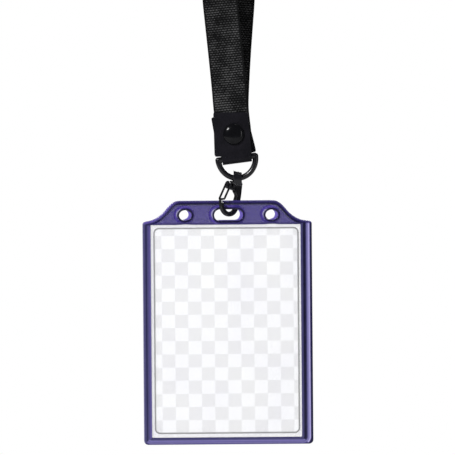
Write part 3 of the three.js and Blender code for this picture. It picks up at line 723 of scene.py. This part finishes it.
def vinyl_colours(points, rear):
    """Tone and cover of the violet vinyl, by the distance from its welded edges and holes; the tone holds the
    vinyl's violet with painted highlights and painted shade along its beads, grooves and holes.
    """
    rim = polygon_distance(points, outer_outline())
    lip = window_distance(points)
    hole = hole_distance(points)
    x, z = points[:, 0], points[:, 1]
    head = smoothstep(WINDOW[3] + 0.2, WINDOW[3] + 1.2, z)
    right = smoothstep(WINDOW[1] - 0.3, WINDOW[1] + 0.1, x)
    right *= 1 - smoothstep(0, 0.6, WINDOW[2] - z - (x - WINDOW[1]))
    left = 1 - smoothstep(WINDOW[0] - 0.1, WINDOW[0] + 0.3, x)
    left *= 1 - smoothstep(-0.3, 0.3, (WINDOW[2] - z) - (WINDOW[0] - x))
    tone = profile(lip, BOTTOM_RAIL)
    tone = tone * (1 - left[:, None]) + profile(rim, LEFT_RAIL) * left[:, None]
    tone = tone * (1 - right[:, None]) + profile(lip, RIGHT_RAIL) * right[:, None]
    shoulder = (1 - smoothstep(-29, -24, x))[:, None]
    crown = profile(rim, HEAD_BEAD) * (1 - shoulder) + profile(rim, SHOULDER_BEAD) * shoulder
    tone = tone * (1 - head[:, None]) + crown * head[:, None]

    def toward(colour, weight):
        nonlocal tone
        tone = tone * (1 - weight[:, None]) + np.array(colour) * weight[:, None]

    # painted shadow: a dark band along the window's top edge, under the head
    toward(SHADE, 0.9 * (1 - smoothstep(0.1, 1.1, lip)) * head)
    if rear:
        # painted highlight: the rear layer's lit hole wall, lilac round each hole, made more opaque there
        toward(HAZE_HIGHLIGHT, 0.9 * (1 - smoothstep(1.6, 2.4, hole)))
        cover = 0.5 + 0.47 * (1 - head) + 0.35 * (1 - smoothstep(1.6, 2.4, hole)) * head
        tone = tone ** 1.1 * (1.06, 1.0, 1.2)
        return tone * (1 - head[:, None] * (0.4, 0.5, 0.0)), np.clip(cover, 0, 0.97)
    middles = np.array([-HOLE_SPACING, 0.0, HOLE_SPACING])
    nearest = middles[np.argmin(np.abs(x[:, None] - HOLES_X - middles), axis=1)]
    upper_left = smoothstep(-1, 4, (z - HOLE_Z) - (x - HOLES_X - nearest))
    # painted shade and highlight round each hole: a dark ring, lighter on the upper left and darker on the
    # lower right, as if lit from the upper left
    toward(GROOVE_SHADE, 0.97 * (1 - smoothstep(0.75, 1.25, hole)))
    toward(HAZE_HIGHLIGHT, 0.75 * band(hole, 1.75, 0.35) * upper_left)
    toward(PLUM_SHADE, 0.5 * band(hole, 1.6, 0.3) * (1 - upper_left))
    # the painted dark lines and painted shade are made more opaque, so they stay dark
    dark = np.clip(1 - tone[:, 0] / 0.06, 0, 1)
    cover = 0.5 + 0.48 * (1 - head) + 0.49 * dark + 0.3 * band(rim, 1.0, 0.8)
    tone = tone ** 1.1 * (1.06, 1.0, 1.2)
    return tone * (1 - head[:, None] * (0.45, 0.58, 0.02)), np.clip(cover, 0, 0.99)


def vinyl_material():
    n = Nodes("vinyl")
    # the tone attribute holds the vinyl's violet with painted highlights and painted shade
    tone = attribute(n, "tone")
    cloud = n.noise(70, 3, 0.55)
    speck = n.noise(900, 3, 0.6)
    shaded = n.mixed(n.scaled(cloud, 0.0, 0.06, 0.3, 0.8), tone, (0.16, 0.14, 0.32))
    n.colour(n.mixed(n.scaled(speck, 0.0, 0.10, 0.4, 0.8), shaded, (0.03, 0.025, 0.10)))
    n.rough(n.scaled(n.noise(380, 3, 0.6), 0.14, 0.28))
    n.link(attribute(n, "cover", "Fac"), n.shader.inputs["Alpha"])
    n.set(IOR=1.5, Specular_IOR_Level=0.3, Coat_Weight=0.15, Coat_Roughness=0.08)
    n.bump(n.math("ADD", n.math("MULTIPLY", speck, 0.06), cloud), 0.35, 0.0006)
    return n.material


def make_frames():
    material = vinyl_material()
    for name, node, rear in (("vinyl_front", "front_frame", False), ("vinyl_rear", "rear_frame", True)):
        obj = softened(name, node, "holder", 0.00027, 4)
        mesh = obj.data
        co = coordinates(mesh) / MM
        flat = co[:, [0, 2]]
        tone, cover = vinyl_colours(flat, rear)
        # the tone holds painted highlights and painted shade as well as the vinyl's violet
        set_colours(mesh, "tone", tone)
        set_values(mesh, "cover", cover)
        inland = smoothstep(0, 1.5, polygon_distance(flat, outer_outline()))
        pull = (1 - smoothstep(0.6, 3.6, hole_distance(flat))) * inland
        for side in (-HOLE_SPACING, HOLE_SPACING):
            near = pull * (np.abs(co[:, 0] - HOLES_X - side) < 8)
            co[:, 0] += ROUND_WIDER * near * (co[:, 0] - HOLES_X - side)
            co[:, 2] -= ROUND_LOWER * near * (co[:, 2] - HOLE_Z)
        if rear:
            co[:, 0] -= REAR_SHIFT * pull
            co[:, 2] += REAR_LIFT * pull
        # the lip beside the window is soft, and leans in over the clear sheet
        lip = window_distance(flat)
        lean = LIP_LEAN * (1 - smoothstep(0, 2.5, lip)) * (flat[:, 1] < WINDOW[3])
        at_left = (flat[:, 0] < WINDOW[0] + 0.3) * 1.0
        at_right = (flat[:, 0] > WINDOW[1] - 0.3) * 1.0
        co[:, 0] += lean * (at_left - at_right)
        outward = 1 if rear else -1
        skin = smoothstep(0.45, 0.8, np.abs(co[:, 1] - HOLDER_Y))
        co[:, 1] += outward * SKIN_WAVE * wave(co[:, 0], co[:, 2], 4.0 + rear) * skin
        move_points(mesh, co * MM)
        mesh.materials.append(material)


def clear_material():
    n = Nodes("clear_vinyl")
    cloud = n.noise(60, 3, 0.55)
    scuff = n.noise(700, 4, 0.7, stretch=(1, 1, 0.25))
    n.colour(n.ramp(cloud, [(0.3, (0.80, 0.79, 0.90)), (0.75, (0.92, 0.92, 0.95))]))
    n.rough(n.scaled(scuff, 0.05, 0.16, 0.35, 0.7))
    n.set(Alpha=0.13, IOR=1.5, Specular_IOR_Level=0.6, Coat_Weight=0.6, Coat_Roughness=0.03)
    n.bump(n.math("ADD", n.math("MULTIPLY", scuff, 0.05), cloud), 0.25, 0.0008)
    return n.material


def sheet_mesh(name, node, outward):
    """A clear sheet with a slight lazy wave, which swells to the outside only."""
    low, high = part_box(node)
    low, high = np.array(low) / MM, np.array(high) / MM
    inner, outer = (low[1], high[1]) if outward > 0 else (high[1], low[1])
    xs = np.linspace(low[0], high[0], 60)
    zs = np.linspace(low[2], high[2], 84)
    points, faces = [], []
    for z in zs:
        for x in xs:
            edge = min(x - low[0], high[0] - x, z - low[2], high[2] - z)
            calm = min(max((edge - 1.8) / 8, 0), 1)
            swell = 0.16 * calm * (0.5 + noise.noise((x * 0.05, z * 0.035, 9.0 + outward)))
            points.append((x, inner + outward * swell * 0.6, z))
            points.append((x, outer + outward * swell, z))
    columns = len(xs)

    def at(i, j, k):
        return 2 * (i * columns + j) + k

    for i in range(len(zs) - 1):
        for j in range(columns - 1):
            for k in (0, 1):
                faces.append([at(i, j, k), at(i, j + 1, k), at(i + 1, j + 1, k), at(i + 1, j, k)])
    for i in range(len(zs) - 1):
        for j in (0, columns - 1):
            faces.append([at(i, j, 0), at(i + 1, j, 0), at(i + 1, j, 1), at(i, j, 1)])
    for j in range(columns - 1):
        for i in (0, len(zs) - 1):
            faces.append([at(i, j, 0), at(i, j + 1, 0), at(i, j + 1, 1), at(i, j, 1)])
    mesh = mesh_from(name, np.array(points) * MM, faces)
    face_outward(mesh)
    return mesh


def make_windows():
    material = clear_material()
    for name, node, outward in (("clear_front", "front_window", -1), ("clear_rear", "rear_window", 1)):
        obj = piece(name, sheet_mesh(name, node, outward), "holder", [node])
        obj.data.materials.append(material)


CHECK = 6.7
CHECK_FOOT = -230.4
CARD_CORNER = 2.8
OUTLINE_INNER = 1.0
OUTLINE_OUTER = 0.55


def card_material():
    low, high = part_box("insert_card")
    n = Nodes("card")
    place = n.object_place()
    centre = (low + high) / 2
    shifted = n.add("ShaderNodeVectorMath", operation="SUBTRACT")
    n.link(place, shifted.inputs[0])
    shifted.inputs[1].default_value = centre
    split = n.add("ShaderNodeSeparateXYZ")
    n.link(shifted.outputs[0], split.inputs[0])
    checker = n.add("ShaderNodeTexChecker")
    checker.inputs["Scale"].default_value = 1.0
    gather = n.add("ShaderNodeCombineXYZ")
    along_x = n.math("ADD", split.outputs[0], centre.x)
    along_z = n.math("ADD", split.outputs[2], centre.z - CHECK_FOOT * MM)
    n.link(n.math("DIVIDE", along_x, CHECK * MM), gather.inputs[0])
    n.link(n.math("DIVIDE", along_z, CHECK * MM), gather.inputs[1])
    gather.inputs[2].default_value = 0.5
    n.link(gather.outputs[0], checker.inputs["Vector"])
    fibre = n.noise(1300, 4, 0.6)
    pale = n.mixed(checker.outputs["Fac"], (0.83, 0.832, 0.82), (0.97, 0.975, 0.965))
    # how far inside the card's rounded edge a point is, for the outline
    corner = CARD_CORNER * MM
    half_x, half_z = (high.x - low.x) / 2 - corner, (high.z - low.z) / 2 - corner
    qx = n.math("SUBTRACT", n.math("ABSOLUTE", split.outputs[0], 0), half_x)
    qz = n.math("SUBTRACT", n.math("ABSOLUTE", split.outputs[2], 0), half_z)
    px, pz = n.math("MAXIMUM", qx, 0), n.math("MAXIMUM", qz, 0)
    length = n.math("SQRT", n.math("ADD", n.math("MULTIPLY", px, px), n.math("MULTIPLY", pz, pz)), 0)
    inside = n.math("MINIMUM", n.math("MAXIMUM", qx, qz), 0)
    edge = n.math("SUBTRACT", corner, n.math("ADD", length, inside))
    line = n.scaled(edge, 1.0, 0.0, OUTLINE_OUTER * MM, OUTLINE_INNER * MM)
    printed = n.mixed(line, pale, (0.15, 0.155, 0.13))
    n.colour(n.mixed(n.scaled(fibre, 0.0, 0.06, 0.4, 0.8), printed, (0.55, 0.54, 0.52)))
    n.rough(n.scaled(fibre, 0.5, 0.7))
    n.set(Specular_IOR_Level=0.4)
    n.bump(fibre, 0.08, 0.00008)
    return n.material


def make_card():
    card = frame["nodes"]["insert_card"]
    card.data.materials.clear()
    card.data.materials.append(card_material())


# ---------------------------------------------------------------------------------------------
# Floor


FLOOR_RADIUS = 0.9
FLOOR_Z = -0.30


def make_floor():
    bm = bmesh.new()
    bmesh.ops.create_circle(bm, cap_ends=True, segments=96, radius=FLOOR_RADIUS)
    mesh = bpy.data.meshes.new("floor")
    bm.to_mesh(mesh)
    bm.free()
    floor = bpy.data.objects.new("floor", mesh)
    scene.collection.objects.link(floor)
    floor.location = (0, 0, FLOOR_Z)
    n = Nodes("floor")
    n.colour(n.ramp(n.noise(3, 2, 0.5), [(0.3, (0.86, 0.86, 0.86)), (0.8, (0.90, 0.90, 0.90))]))
    n.set(Roughness=0.7)
    mesh.materials.append(n.material)


make_strap()
make_hardware()
make_frames()
make_windows()
make_card()
make_floor()

bpy.context.view_layer.update()
